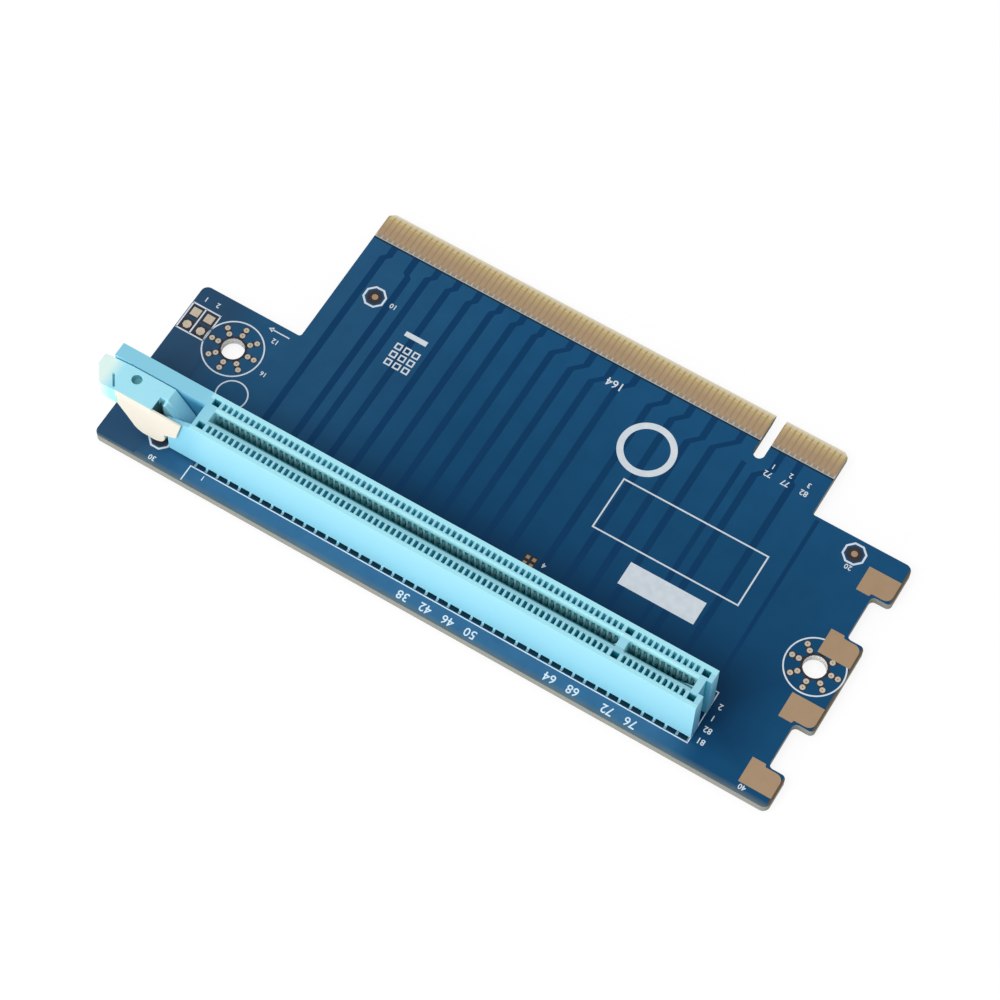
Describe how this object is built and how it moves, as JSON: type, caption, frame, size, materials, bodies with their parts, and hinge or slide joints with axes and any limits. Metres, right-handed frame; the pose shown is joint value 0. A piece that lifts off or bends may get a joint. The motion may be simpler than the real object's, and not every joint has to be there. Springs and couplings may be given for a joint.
{
  "type": "pcie riser card",
  "caption": "Blue circuit board with a gold edge connector on one long side and a long light-blue card slot with a hinged end latch along the other.",
  "frame": {"origin": "centre of the left mounting hole at the board's underside", "axes": "+X along the slot to the right, towards the tabs; +Y towards the gold fingers; +Z out of the board's slot side"},
  "size_m": [0.1224, 0.0589, 0.0139],
  "materials": {
    "blue_board": "satin",
    "gold_plating": "satin",
    "light_blue_plastic": "matte",
    "cream_plastic": "matte",
    "contact_metal": "satin"
  },
  "bodies": {
    "card": {"circuit_board": "blue_board", "edge_fingers_top": "gold_plating", "edge_fingers_bottom": "gold_plating", "ground_tab_pads_top": "gold_plating", "ground_tab_pads_bottom": "gold_plating", "header_pads": "gold_plating", "fiducial_marks": "gold_plating", "capacitor_pads": "gold_plating", "slot_housing": "light_blue_plastic", "contacts_front_outer": "contact_metal", "contacts_front_inner": "contact_metal", "contacts_rear_outer": "contact_metal", "contacts_rear_inner": "contact_metal"},
    "latch": {"retention_latch": "light_blue_plastic", "latch_cheek": "cream_plastic"}
  },
  "joints": [
    {"name": "latch_hinge", "type": "hinge", "parent": "card", "child": "latch", "pos_m": [-0.0014, -0.0181, 0.0057], "axis": [0, -1, 0], "range_deg": [0, 18]}
  ]
}
